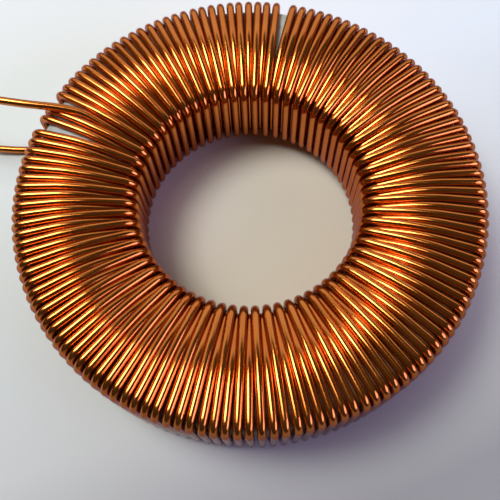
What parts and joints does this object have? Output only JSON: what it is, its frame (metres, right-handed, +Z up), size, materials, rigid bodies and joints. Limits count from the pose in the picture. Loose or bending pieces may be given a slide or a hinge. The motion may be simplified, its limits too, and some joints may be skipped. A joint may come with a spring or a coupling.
{
  "type": "toroidal inductor",
  "caption": "Ring core wound all the way round with enamelled copper wire, with two wire leads leaving at one side.",
  "frame": {"origin": "on the ring's axis, at the plane that the winding rests on", "axes": "+Z up along the ring's axis; the two leads leave towards -X"},
  "size_m": [0.0673, 0.05, 0.0141],
  "materials": {
    "core_coating": "satin coating",
    "enamelled_wire": "glossy enamel"
  },
  "bodies": {
    "root": {"core": "core_coating", "winding": "enamelled_wire"}
  },
  "joints": []
}
